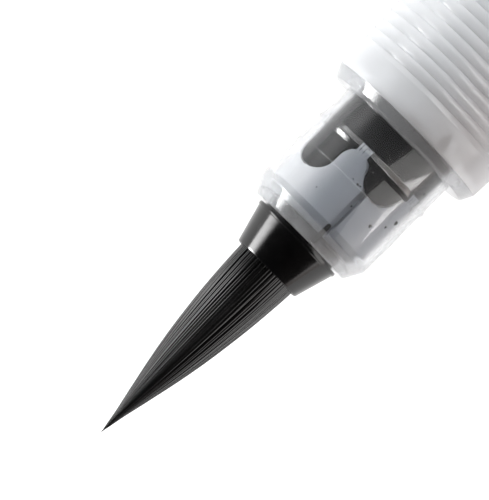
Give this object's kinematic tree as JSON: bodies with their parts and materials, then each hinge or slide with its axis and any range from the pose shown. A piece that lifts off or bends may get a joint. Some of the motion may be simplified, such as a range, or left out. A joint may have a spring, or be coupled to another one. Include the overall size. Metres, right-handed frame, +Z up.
{
  "type": "brush pen",
  "caption": "Squeeze-barrel brush pen with black nylon bristles, frosted clear nose and grip, screw-in ink cartridge, and a clip cap posted on the tail.",
  "frame": {"origin": "middle of the footprint of the pen lying down, on the surface it lies on", "axes": "+X along the pen from the brush tip to the cap's end, +Z up from the surface it lies on"},
  "size_m": [0.195, 0.0192, 0.018],
  "materials": {
    "frosted_clear": "frosted clear polypropylene, satin",
    "milky": "milky translucent polyethylene",
    "liner": "translucent white, satin",
    "black_gloss": "polished black moulding",
    "black_nylon": "black nylon filament with a silky sheen",
    "grey_plastic": "plain moulded grey",
    "foam": "ink-soaked open-cell foam",
    "seal_rubber": "matte rubber",
    "ink": "liquid black ink",
    "label": "printed film, blank",
    "cap_black": "polished black moulding"
  },
  "bodies": {
    "front_section": {"front_barrel": "frosted_clear", "ferrule": "black_gloss", "bristle_root": "black_nylon", "tuft_retainer": "grey_plastic", "feed_rod": "grey_plastic", "ink_collector": "black_gloss", "inner_liner": "liner", "buffer_foam": "foam", "connector_tube": "milky"},
    "brush": {"outer_bristles": "black_nylon", "core_bristles": "black_nylon"},
    "seal": {"neck_seal_ring": "seal_rubber"},
    "cartridge": {"cartridge_bottle": "milky", "neck_insert": "milky", "ink_charge": "ink", "barrel_label": "label"},
    "cap": {"cap_shell": "cap_black", "inner_cap": "milky", "cap_crown": "cap_black"},
    "clip": {"clip_arm": "cap_black"}
  },
  "joints": [
    {"name": "brush_bend", "type": "hinge", "parent": "front_section", "child": "brush", "pos_m": [-0.0788, 0.00063, 0.00902], "axis": [0, 0, 1], "range_deg": [-20, 20], "stiffness_Nm_per_rad": 0.003},
    {"name": "cartridge_travel", "type": "slide", "parent": "front_section", "child": "seal", "axis": [1, 0, 0], "range_m": [0, 0.00375]},
    {"name": "cartridge_turn", "type": "hinge", "parent": "seal", "child": "cartridge", "pos_m": [-0.0375, 0.00063, 0.00902], "axis": [1, 0, 0], "range_deg": [0, 540]},
    {"name": "cap_pull", "type": "slide", "parent": "cartridge", "child": "cap", "axis": [1, 0, 0], "range_m": [0, 0.035]},
    {"name": "clip_flex", "type": "hinge", "parent": "cap", "child": "clip", "pos_m": [0.0948, -0.00783, 0.00199], "axis": [0, -0.6394, 0.7688], "range_deg": [0, 4], "stiffness_Nm_per_rad": 0.04}
  ],
  "couplings": [
    {"joint": "cartridge_turn", "follows": "cartridge_travel", "rad_per_m": 2513.3}
  ]
}
